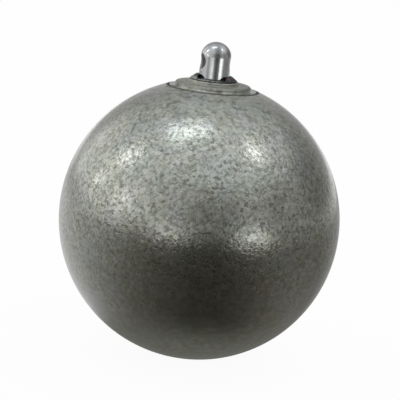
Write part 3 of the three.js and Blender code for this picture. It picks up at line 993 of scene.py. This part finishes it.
    def cap(self) -> Mesh:
        """The flanged cap with its boss, neck, thread and two pin-spanner holes."""
        bush_radius, race_seat, _ = span("guide_bush")
        seat, bore = race_seat - self.seat_gap, bush_radius + self.seat_gap
        lip_bore, relief = span("upper_race")[0] + self.seat_gap, self.cap_thread_radius - self.cap_relief
        low, edge = self.flange_bottom, self.edge
        ends = (self.cap_bottom + self.cap_chamfer, low - 2 * self.cap_relief)
        thread = Thread(self.cap_thread_radius, *ends, self.thread_pitch, self.cap_thread_depth)
        outline = [
            (bore, seat, edge / 2), (lip_bore, seat), (lip_bore, self.cap_bottom, edge),
            (thread.wall - self.cap_chamfer, self.cap_bottom), *thread.rows(),
            (relief, thread.high + self.cap_relief, edge), (relief, low, edge), (self.flange_radius, low, edge),
            (self.flange_radius, self.flange_top, edge), (self.boss_radius, self.flange_top, edge),
            (self.boss_radius, self.boss_top, self.boss_rounding), (self.neck_radius, self.boss_top, edge),
            (self.neck_radius, self.neck_top, self.neck_rounding), (bore, self.neck_top, edge),
        ]
        body = thread.cut_into(turned("painted_cap", outline, self.facets), Slot.PAINT)
        return combined(body, self.spanner_tools(), Action.CUT)

    def spanner_tools(self) -> list[Mesh]:
        """The drills of the two blind holes, which leave a small countersink."""
        land = self.boss_radius - self.boss_rounding - self.neck_radius
        radius, place = land * self.spanner_share, self.neck_radius + land / 2
        low, high, sink = self.boss_top - self.spanner_depth, self.boss_top + self.edge, self.edge
        outline = [(AXIS, low), (radius, low), (radius, self.boss_top - sink), (radius + 2 * sink, high), (AXIS, high)]
        return [moved(turned("spanner_hole", outline, self.inner_facets), x=side * place) for side in (-1, 1)]


@dataclass
class Spindle(SubAssembly):
    """The chromed eye with its shank, and what turns with it."""

    carrier = Carrier.SPINDLE

    facets: int = 160
    pin_facets: int = 48
    seat_gap: float = 0.1 * MM
    edge: float = 0.3 * MM
    hole_radius: float = 2.95 * MM
    hole_drop: float = 2 * MM
    mouth_round: float = 1.9 * MM
    foot_round: float = 0.4 * MM
    voxel: float = 0.17 * MM
    margin_voxels: int = 3
    shank_radius: float = 6 * MM
    shank_chamfer: float = 0.8 * MM
    shank_pitch: float = 1.75 * MM
    shank_thread_depth: float = 0.95 * MM
    thread_length: float = 14 * MM
    pin_hole: float = 1.65 * MM
    slot_width: float = 12 * MM
    slot_floor: float = 0.45 * MM
    slot_angle: float = math.radians(-26)
    # How far in from the seal's edge the paler grey of its lip reaches
    pale_side_width: float = 1.6 * MM
    fitted_bore: float = 6.15 * MM
    washer_edge: float = 0.4 * MM
    nut_flats: float = 19 * MM
    nut_body: float = 8 * MM
    crown_inset: float = 0.8 * MM
    crown_slots: int = 6
    crown_slot_width: float = 3.3 * MM
    crown_slot_rounding: float = 0.6
    pin_radius: float = 1.5 * MM
    wire_radius: float = 0.75 * MM
    pin_slit: float = 0.14 * MM
    pin_gap: float = 0.15 * MM
    pin_eye_arc: tuple[int, int, int] = (0, 345, 23)
    leg_angle: float = math.radians(42)
    leg_steps: int = 24
    seal_shares: tuple[Corner, ...] = (
        (0, 0, 0), (0.28, 0, 0.03), (0.46, 0.12, 0.05), (0.74, 0, 0.03), (1, 0, 0.03), (1, 0.16, 0.06),
        (0.8, 0.41, 0.02), (0.76, 0.38, 0.02), (0.72, 0.51, 0.02), (0.56, 0.71, 0.02), (0.52, 0.68, 0.02),
        (0.48, 0.81, 0.02), (0.36, 0.97, 0.03), (0.28, 1, 0.03), (0, 1, 0.05),
    )

    def __post_init__(self) -> None:
        """Works out the eye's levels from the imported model."""
        self.eye_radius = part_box("swivel_eye")[1].y
        self.spindle_bottom, self.eye_top = span("swivel_eye")[1:]
        self.seal_radius, self.shoulder, self.seal_top = span("dust_seal")
        self.dome_level = self.eye_top - self.eye_radius
        self.hole_level = self.dome_level - self.hole_drop
        self.pin_level = sum(span("split_pin")[1:]) / 2

    def rubber(self) -> Rubber:
        """The rubber, which knows where its lip is."""
        return Rubber(self.seal_radius - self.pale_side_width)

    def build(self) -> None:
        """Builds every piece that turns with the eye."""
        race = Bearing().race("lower_race", self.fitted_bore, grooved_on_top=True)
        self.add("chromed_eye", self.eye(), Slot.CHROME, "swivel_eye")
        self.add("lip_seal", self.seal(), Slot.RUBBER, "dust_seal")
        self.add("turning_race", race, Slot.STEEL, "lower_race")
        self.add("hard_washer", self.washer(), Slot.ZINC, "thrust_washer")
        self.add("crown_nut", self.nut(), Slot.ZINC, "castle_nut")
        self.add("cotter", self.pin(), Slot.ZINC, "split_pin")

    def eye(self) -> Mesh:
        """The eye, blended from a domed rod and a cross hole, in one piece with its threaded shank."""
        names = ("eye_radius", "dome_level", "shoulder", "hole_radius", "hole_level", "mouth_round", "foot_round")
        tree = ShapeTree("swivel_eye", **{name: getattr(self, name) for name in names})
        radius, dome, shoulder, hole_radius, hole_level, mouth, foot = tree.inputs
        x, y, z = tree.split(tree.place)
        rod = tree.length(x, y, tree.most(z - dome, 0.0)) - radius
        hole = hole_radius - tree.length(y, z - hole_level)
        solid = tree.maths("SMOOTH_MAX", rod, hole, mouth)
        solid = tree.maths("SMOOTH_MAX", solid, shoulder - z, foot)
        margin = Vector((self.margin_voxels * self.voxel,) * 3)
        low = Vector((-self.eye_radius, -self.eye_radius, self.shoulder)) - margin
        high = Vector((self.eye_radius, self.eye_radius, self.eye_top)) + margin
        rows = {f"Resolution {axis}": round(length / self.voxel) for axis, length in zip("XYZ", high - low)}
        density = 0.5 - solid / self.eye_radius
        volume = tree.node("GeometryNodeVolumeCube", {"Density": density, "Min": low, "Max": high, **rows})
        skin = tree.node("GeometryNodeVolumeToMesh", {"Volume": volume.outputs[0], "Threshold": 0.5})
        whole = combined(tree.run(skin, Slot.CHROME), [self.shank()], Action.JOIN)
        reach = 2 * self.shank_radius
        drill = turned("pin_drill", ring(AXIS, self.pin_hole, -reach, reach), self.pin_facets)
        return combined(whole, [moved(drill, QUARTER_TURN, "Y", z=self.pin_level)], Action.CUT)

    def shank(self) -> Mesh:
        """The shank with its thread, which reaches a little way up into the eye."""
        radius, low, chamfer = self.shank_radius, self.spindle_bottom, self.shank_chamfer
        thread = Thread(radius, low + chamfer, low + self.thread_length, self.shank_pitch, self.shank_thread_depth)
        high = self.shoulder + chamfer
        outline = [(AXIS, low), (radius - chamfer, low), *thread.rows(), (radius, high), (AXIS, high)]
        return thread.cut_into(turned("shank", outline, self.facets), Slot.CHROME)

    def washer(self) -> Mesh:
        """The hardened washer, with rolled edges."""
        return turned("hard_washer", ring(self.fitted_bore, *span("thrust_washer"), self.washer_edge), self.facets)

    def nut(self) -> Mesh:
        """The castle nut, crown downwards: a hexagon with turned corners, a threaded bore and six slots."""
        low, high = (corner.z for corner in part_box("castle_nut"))
        over, edge, bore = self.edge, self.edge, self.fitted_bore
        flats, corner = self.nut_flats / 2, self.nut_flats / 2 / math.cos(HEX_HALF)
        drop = (corner - flats) * math.tan(HEX_HALF)
        shoulder, crown = high - self.nut_body, flats - self.crown_inset
        outline = [
            (AXIS, low), (crown, low, edge), (crown, shoulder, edge), (flats, shoulder), (corner, shoulder + drop),
            (corner, high - drop), (flats, high), (AXIS, high),
        ]
        hexagon = moved(turned("hexagon", ring(AXIS, corner, low - over, high + over), HEX_SIDES), HEX_HALF)
        blank = combined(turned("crown_nut", outline, self.facets), [hexagon], Action.SHARE)
        thread = Thread(bore, low, high, self.shank_pitch, self.shank_thread_depth)
        drill = [(AXIS, low - over), (bore, low - over), *thread.rows(), (bore, high + over), (AXIS, high + over)]
        tools = [thread.cut_into(turned("nut_bore", drill, self.facets), Slot.ZINC)]
        half = self.crown_slot_width / 2
        size = half * self.crown_slot_rounding
        slot = [(half, low - over), (half, shoulder, size), (-half, shoulder, size), (-half, low - over)]
        for turn in range(self.crown_slots // 2):
            angle = QUARTER_TURN + math.tau * turn / self.crown_slots
            tools.append(moved(prism("crown_slot", rounded(slot, closed=True), 4 * crown), angle))
        return combined(blank, tools, Action.CUT)

    def pin(self) -> Mesh:
        """The split pin: its eye, its split shank, and the two legs that are bent round the crown."""
        bend = self.nut_flats / 2 - self.crown_inset + self.pin_gap + self.wire_radius
        eye = (-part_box("split_pin")[0].x - bend - self.wire_radius) / 2
        shank = moved(turned("cotter", ring(AXIS, self.pin_radius, -bend, bend), self.pin_facets), QUARTER_TURN, "Y")
        half, over = self.pin_radius + self.edge, bend + self.edge
        slit = prism("slit", ((over, -half), (over, half), (eye - bend, half), (eye - bend, -half)), self.pin_slit)
        loop = turned("pin_eye", arc(eye, AXIS, self.wire_radius, *self.pin_eye_arc), self.pin_facets)
        legs = [self.leg(bend, side * self.leg_angle) for side in (-1, 1)]
        joined = [moved(loop, x=-bend - eye), *legs]
        return moved(combined(combined(shank, [slit], Action.CUT), joined, Action.JOIN), z=self.pin_level)

    def leg(self, bend: float, sweep: float) -> Mesh:
        """A leg of the split pin: a wire along an arc about the axis."""
        tree = ShapeTree("pin_leg", bend_radius=bend, sweep=sweep, wire_radius=self.wire_radius)
        radius, turn, wire = tree.inputs
        steps = {"Resolution": self.leg_steps}
        sockets = {"Radius": radius, "Start Angle": 0.0, "Sweep Angle": turn, **steps}
        path = tree.node("GeometryNodeCurveArc", sockets, mode="RADIUS")
        section = tree.node("GeometryNodeCurvePrimitiveCircle", {"Radius": wire, **steps}, mode="RADIUS")
        sockets = {"Curve": path.outputs[0], "Profile Curve": section.outputs[0], "Fill Caps": True}
        return tree.run(tree.node("GeometryNodeCurveToMesh", sockets), Slot.ZINC)

    def seal(self) -> Mesh:
        """The rubber seal: a foot, an outer lip and a coned top with two moulded rings, slotted across."""
        inner = self.eye_radius + self.seat_gap
        width, height = self.seal_radius - inner, self.seal_top - self.shoulder
        outline = [
            (inner + across * width, self.shoulder + up * height, rounding * width)
            for across, up, rounding in self.seal_shares
        ]
        half, low, high = self.slot_width / 2, self.shoulder + self.slot_floor, self.seal_top + self.slot_floor
        size = self.slot_floor / 2
        slot = rounded([(half, low, size), (half, high), (-half, high), (-half, low, size)], closed=True)
        tool = moved(prism("slot", slot, 2 * self.seal_radius), self.slot_angle)
        return combined(turned("lip_seal", outline, self.facets), [tool], Action.CUT)


@dataclass
class BallSet(SubAssembly):
    """The balls of the bearing and their brass cage, which roll between the two races."""

    carrier = Carrier.CAGE

    bearing: Bearing = field(default_factory=Bearing)
    count: int = 12
    pocket_gap: float = 0.15 * MM
    edge: float = 0.2 * MM
    facets: int = 144
    pocket_facets: int = 48
    segments: int = 48
    rings: int = 24

    def build(self) -> None:
        """Builds the cage and the balls."""
        nodes = (f"bearing_ball_{number:02d}" for number in range(1, self.count + 1))
        self.add("brass_cage", self.cage(), Slot.BRASS, "ball_cage")
        self.add("bearing_balls", self.balls(), Slot.STEEL, *nodes)

    def ringed(self, name: str, slot: Slot, kind: str, radius: float, sockets: dict[str, Any]) -> Mesh:
        """Copies of a shape, evenly round the axis at the balls' level.

        Args:
            name: the name of the tree that makes them.
            slot: what they are dressed in.
            kind: the shape's node.
            radius: the shape's radius.
            sockets: the node's other inputs.

        Returns:
            The mesh.
        """
        sizes = {"pitch_radius": self.bearing.pitch_radius, "radius": radius, "level": self.bearing.ball_level}
        tree = ShapeTree(name, **sizes, count=self.count)
        pitch, size, level, count = tree.inputs
        shape = tree.node(kind, {"Radius": size, **sockets})
        circle = tree.node("GeometryNodeMeshCircle", {"Vertices": count, "Radius": pitch})
        sockets = {"Points": circle.outputs[0], "Instance": shape.outputs["Mesh"]}
        copies = tree.node("GeometryNodeInstanceOnPoints", sockets)
        sockets = {"Geometry": copies.outputs[0], "Translation": tree.bundle(AXIS, AXIS, level)}
        return tree.run(tree.node("GeometryNodeTransform", sockets), slot)

    def balls(self) -> Mesh:
        """The twelve balls."""
        sockets = {"Segments": self.segments, "Rings": self.rings}
        size = self.bearing.ball_radius
        return self.ringed("bearing_balls", Slot.STEEL, "GeometryNodeMeshUVSphere", size, sockets)

    def cage(self) -> Mesh:
        """The cage: a flat ring, drilled with a pocket for each ball."""
        outer, low, high = span("ball_cage")
        inner, pocket = 2 * self.bearing.pitch_radius - outer, self.bearing.ball_radius + self.pocket_gap
        sockets = {"Vertices": self.pocket_facets, "Depth": 2 * (high - low)}
        drills = self.ringed("ball_pockets", Slot.BRASS, "GeometryNodeMeshCylinder", pocket, sockets)
        blank = turned("brass_cage", ring(inner, outer, low, high, self.edge), self.facets)
        return combined(blank, [drills], Action.CUT)


# Studio


@dataclass(frozen=True)
class Viewpoint:
    """Where the photograph was taken from, as fitted to the ball's outline and the swivel's axis."""

    azimuth: float = -17.0
    elevation: float = 12.8
    lean: float = math.radians(5.94)
    distance: float = 600 * MM
    focal_px: float = 1398.0
    frame_px: float = 400.0
    ball_px: Point = (199.2, 219.2)
    ball_radius_px: float = 140.5
    sensor: float = 36.0

    def toward(self, azimuth: float, elevation: float) -> Vector:
        """The direction from the object at an azimuth to the right of the camera and an elevation."""
        turn, rise = math.radians(self.azimuth + azimuth), math.radians(elevation)
        level = math.cos(rise)
        return Vector((math.sin(turn) * level, -math.cos(turn) * level, math.sin(rise)))

    def axes(self) -> Matrix:
        """The camera's right, up and backward directions, as columns."""
        back = self.toward(0.0, self.elevation)
        right = Vector((0.0, 0.0, 1.0)).cross(back).normalized()
        up = back.cross(right)
        leaning_right = right * math.cos(self.lean) + up * math.sin(self.lean)
        leaning_up = up * math.cos(self.lean) - right * math.sin(self.lean)
        return Matrix((leaning_right, leaning_up, back)).transposed()

    def mirrored(self, place_px: Point) -> tuple[Vector, Vector]:
        """What the ball mirrors at a pixel.

        Args:
            place_px: the pixel in the photograph's frame.

        Returns:
            The outward direction of the ball's surface there, and the direction that it mirrors.
        """
        x = (place_px[0] - self.ball_px[0]) / self.ball_radius_px
        y = (self.ball_px[1] - place_px[1]) / self.ball_radius_px
        facing = Vector((x, y, math.sqrt(1 - x * x - y * y)))
        mirrored = 2 * facing.z * facing - Vector((0.0, 0.0, 1.0))
        return self.axes() @ facing, self.axes() @ mirrored


@dataclass(frozen=True)
class Lamp:
    """A soft strip lamp, placed so that the ball mirrors it between two pixels."""

    name: str
    start_px: Point
    end_px: Point
    breadth: float
    glow: float
    colour: Colour = (0.95, 0.98, 1.04)


LAMPS = (
    Lamp("lamp_top", (180, 135), (200, 134), 13.5, 1.5, (0.9, 0.97, 1.08)),
    Lamp("lamp_right", (251, 152), (254, 156), 7.5, 2.7),
    Lamp("lamp_left", (129, 159), (138, 155), 6.6, 2.6),
    Lamp("lamp_left_middle", (112, 170), (126, 161), 3.0, 1.2),
    Lamp("lamp_left_low", (100, 180), (102, 178), 5.6, 1.8),
    Lamp("lamp_side", (123, 196), (131, 204), 7.0, 0.9, WHITE),
    Lamp("lamp_low_left", (166, 240), (169, 240), 2.4, 2.6, WHITE),
    Lamp("lamp_low_right", (250, 241), (256, 241), 2.2, 2.6, WHITE),
)


def grey(glow: float) -> Colour:
    """The grey of a glow."""
    return glow, glow, glow


def around(glows: Sequence[Pair], tint: Callable[[float], Colour] = grey) -> list[tuple[float, Colour]]:
    """The stops of a ramp that goes round the object, from azimuths with their glows."""
    return [(azimuth / FULL_DEGREES + STRAIGHT_AHEAD, tint(glow)) for azimuth, glow in glows]


@dataclass(frozen=True)
class Room:
    """The room that the metal mirrors, as the glow of a dome and of the ground under it.

    Azimuths are in degrees to the right of the camera, as seen from the object, and glows in shares of white.
    """

    radius: float = 2.4
    stripe_glows: tuple[Pair, ...] = (
        (-180, 0.86), (-160, 0.86), (-146, 0.42), (-122, 0.46), (-104, 0.63), (-90, 0.76), (-66, 0.76),
        (-56, 0.46), (-46, 0.48), (-36, 0.8), (-27, 1.2), (-15, 1.2), (-9, 0.46), (-3, 0.32), (3, 0.14),
        (17, 0.13), (24, 0.28), (31, 0.36), (34, 1.6), (48, 1.65), (56, 0.95), (64, 0.31), (100, 0.26),
        (125, 0.4), (140, 0.56), (160, 0.86), (180, 0.86),
    )
    wall_glows: tuple[Pair, ...] = (
        (-180, 0.38), (-155, 0.33), (-144, 0.55), (-133, 1.15), (-115, 0.88), (-97, 1.0), (-70, 0.96),
        (-48, 0.78), (-27, 0.47), (-7, 0.3), (20, 0.28), (45, 0.25), (57, 0.25), (76, 0.33), (92, 0.36),
        (110, 0.17), (125, 0.18), (139, 0.24), (180, 0.34),
    )
    walls_striped: float = 0.14
    ceiling_glows: tuple[Pair, ...] = ((0, 0.4), (30, 0.52), (47, 0.62), (66, 0.76), (90, 0.86))
    ceiling_slant: float = 0.36
    ceiling_sides: float = 0.44
    ceiling_tint: Colour = (0.97, 1.0, 1.03)
    stripes_end: Pair = (0.0, 5.0)
    walls_end: Pair = (22.0, 46.0)
    # Dark in front of the ball, as painted shadow of the ball on the ground, and lighter round it
    ground_glows: tuple[Pair, ...] = (
        (-180, 0.55), (-133, 0.62), (-100, 0.5), (-90, 0.44), (-72, 0.32), (-48, 0.17), (-25, 0.08),
        (0, 0.028), (20, 0.03), (38, 0.06), (57, 0.13), (83, 0.18), (110, 0.17), (180, 0.48),
    )
    ground_tint: Colour = (1.0, 0.88, 0.7)
    tinted_below: float = 0.25
    # The painted shadow right under the ball, and how far out it fades
    painted_shadow_grey: Colour = (0.16, 0.16, 0.145)
    ground_level: float = 0.2 * MM
    ground_facets: int = 96
    painted_shadow_reach: Pair = (32 * MM, 64 * MM)
    stripes_reach: Pair = (0.7, 0.86)
    dome_steps: int = 48

    def ground_colour(self, level: float) -> Colour:
        """The ground's colour at a glow, tinted where it is dim."""
        share = max(0.0, 1 - level / self.tinted_below)
        return tuple(level * (1 - share + share * part) for part in self.ground_tint)


@dataclass
class Studio:
    """The camera, the lamps, the room that the metal mirrors, and the white floor and backdrop."""

    viewpoint: Viewpoint
    centre: Vector
    room: Room = Room()
    floor_size: float = 8.0
    lamp_distance: float = 1.2
    clip_ends: Pair = (12 * MM, 24.0)
    sky: float = 0.85
    floor_grey: Colour = (0.9, 0.9, 0.9)
    floor_white_share: float = 0.95

    def build(self) -> None:
        """Builds the whole studio."""
        self.place_camera()
        self.light_world()
        for lamp in LAMPS:
            self.place_lamp(lamp)
        self.build_dome()
        self.lay_ground()
        self.lay_floor()

    def hang(self, name: str, data: Any, place: Vector, axes: Matrix) -> Object:
        """Puts a camera or a lamp at a place, along its axes."""
        made = placed(name, data)
        made.matrix_world = Matrix.Translation(place) @ axes.to_4x4()
        return made

    def place_camera(self) -> None:
        """Puts the camera where the photograph was taken from."""
        view = self.viewpoint
        data = bpy.data.cameras.new("camera")
        data.sensor_width = view.sensor
        data.lens = view.focal_px / view.frame_px * view.sensor
        data.shift_x = 0.5 - view.ball_px[0] / view.frame_px
        data.shift_y = view.ball_px[1] / view.frame_px - 0.5
        data.clip_start, data.clip_end = self.clip_ends
        place = self.centre + view.toward(0.0, view.elevation) * view.distance
        bpy.context.scene.camera = self.hang("camera", data, place, view.axes())

    def place_lamp(self, lamp: Lamp) -> None:
        """Puts a lamp where the ball mirrors it, facing the ball."""
        ends = []
        for place_px in (lamp.start_px, lamp.end_px):
            facing, mirrored = self.viewpoint.mirrored(place_px)
            ends.append(self.centre + facing * self.centre.z + mirrored * self.lamp_distance)
        middle, line = (ends[0] + ends[1]) / 2, ends[1] - ends[0]
        breadth = math.radians(lamp.breadth) * self.lamp_distance
        back = (middle - self.centre).normalized()
        across = back.cross(line.normalized()).normalized()
        data = bpy.data.lights.new(lamp.name, "AREA")
        data.shape, data.size, data.size_y = "RECTANGLE", line.length + breadth, breadth
        data.color = lamp.colour
        data.energy = lamp.glow * math.pi * data.size * data.size_y
        self.hang(lamp.name, data, middle, Matrix((across.cross(back), across, back)).transposed())

    def seen(self, graph: Graph) -> Signal:
        """One for rays that show the background: to the camera, in reflections and through glass."""
        path = graph.node("ShaderNodeLightPath")
        rays = ("Is Camera Ray", "Is Glossy Ray", "Is Transmission Ray")
        camera, glossy, through = (Signal(graph, path.outputs[name]) for name in rays)
        return graph.maths("ADD", camera + glossy, through, clamp=True)

    def light_world(self) -> None:
        """Gives a white backdrop, and an even light that is a little dimmer."""
        world = bpy.data.worlds.new("world")
        graph = Graph(emptied(world))
        strength = self.sky + (1 - self.sky) * self.seen(graph)
        graph.end("World", graph.node("ShaderNodeBackground", {"Color": WHITE, "Strength": strength}))
        bpy.context.scene.world = world

    def lay_floor(self) -> None:
        """Lays the floor, which shows white with the object's shadow on it."""
        material = bpy.data.materials.new("floor")
        graph = Graph(emptied(material))
        plain = graph.node("ShaderNodeBsdfDiffuse", {"Color": self.floor_grey})
        white = graph.node("ShaderNodeEmission", {"Color": WHITE, "Strength": 1.0})
        share = self.seen(graph) * self.floor_white_share
        graph.end("Material", graph.node("ShaderNodeMixShader", {0: share, 1: plain.outputs[0], 2: white.outputs[0]}))
        half = self.floor_size / 2
        mesh = meshed("floor", [(-half, -half, 0), (half, -half, 0), (half, half, 0), (-half, half, 0)], [(0, 1, 2, 3)])
        mesh.materials.append(material)
        placed("floor", mesh)

    def facing(self, graph: Graph) -> tuple[Signal, Signal, Signal, Signal]:
        """Where a point of the room lies.

        Args:
            graph: the material's nodes.

        Returns:
            Its azimuth to the right of the camera in degrees and as a place on a ramp round the object, its level
            distance, and its height over the centre.
        """
        x, y, z = graph.split(graph.node("ShaderNodeTexCoord").outputs["Object"])
        ahead, right = (self.viewpoint.toward(azimuth, 0.0) for azimuth in (0.0, 90.0))
        forwards, sideways = (x * way.x + y * way.y for way in (ahead, right))
        azimuth = graph.maths("ARCTAN2", sideways, forwards) * math.degrees(1)
        return azimuth, azimuth / FULL_DEGREES + STRAIGHT_AHEAD, graph.length(x, y), z - self.centre.z

    def build_dome(self) -> None:
        """Builds the dome of walls and ceiling."""
        room, material = self.room, bpy.data.materials.new("room_dome")
        graph = Graph(emptied(material))
        azimuth, turn, distance, height = self.facing(graph)
        elevation = graph.maths("ARCTAN2", height, distance) * math.degrees(1)
        stripes = graph.ramp(turn, around(room.stripe_glows))
        walls = graph.ramp(turn, around(room.wall_glows))
        forwards = graph.maths("COSINE", azimuth * math.radians(1))
        tilt = room.ceiling_slant * forwards + room.ceiling_sides * (1 - forwards * forwards)
        stops = [(rise / RIGHT_DEGREES, grey(level)) for rise, level in room.ceiling_glows]
        ceiling = graph.ramp(elevation / RIGHT_DEGREES, stops)
        ceiling = graph.vectors("MULTIPLY", ceiling, room.ceiling_tint)
        ceiling = graph.scaled(ceiling, 1 + tilt * distance / room.radius)
        share = (1 - room.walls_striped) * graph.smooth(elevation, *room.stripes_end)
        lower = graph.mix(share, stripes, walls)
        glow = graph.mix(graph.smooth(elevation, *room.walls_end), lower, ceiling)
        outline = arc(AXIS, AXIS, room.radius, 0, RIGHT_DEGREES, room.dome_steps)
        self.put_up(material, graph, glow, outline, 4 * room.dome_steps)

    def lay_ground(self) -> None:
        """Lays the dim ground: painted shadow under and in front of the ball, lighter round it, striped further out."""
        room, material = self.room, bpy.data.materials.new("room_ground")
        graph = Graph(emptied(material))
        _, turn, distance, _ = self.facing(graph)
        near = graph.ramp(turn, around(room.ground_glows, room.ground_colour))
        # Painted shadow of the ball on the ground under it
        near = graph.mix(graph.smooth(distance, *room.painted_shadow_reach), room.painted_shadow_grey, near)
        stripes = graph.ramp(turn, around(room.stripe_glows))
        glow = graph.mix(graph.smooth(distance, *room.stripes_reach), near, stripes)
        outline = [(AXIS, room.ground_level), (room.radius, room.ground_level)]
        self.put_up(material, graph, glow, outline, room.ground_facets)

    def put_up(self, material: Material, graph: Graph, glow: NodeSocket, outline: list[Point], facets: int) -> None:
        """Puts up a glowing surface that only reflections show.

        Args:
            material: the surface's material, which gives the name.
            graph: the material's nodes.
            glow: the colour that it glows in.
            outline: the surface's outline, which is revolved.
            facets: how many flats go round.
        """
        graph.end("Material", graph.node("ShaderNodeEmission", {"Color": glow, "Strength": 1.0}))
        mesh = lathe(material.name, outline, facets)
        mesh.materials.append(material)
        made = placed(material.name, mesh)
        made.visible_camera = made.visible_diffuse = made.visible_shadow = False
        made.visible_transmission = made.visible_volume_scatter = False


def main() -> None:
    """Builds the finishes, the sub-assemblies and the studio."""
    logging.basicConfig(level=logging.INFO, format="%(message)s")
    bpy.context.scene.view_settings.view_transform = "Standard"
    head, spindle = Head(), Spindle()
    finishes = (head.paint(), Chrome(spindle.hole_level), spindle.rubber())
    finishes += (GroundSteel(), Bronze(), Brass(), Zinc(), Lead())
    for part in (*finishes, head, spindle, BallSet()):
        part.build()
    Studio(Viewpoint(), Vector((AXIS, AXIS, head.ball_radius))).build()


if __name__ == "__main__":
    main()
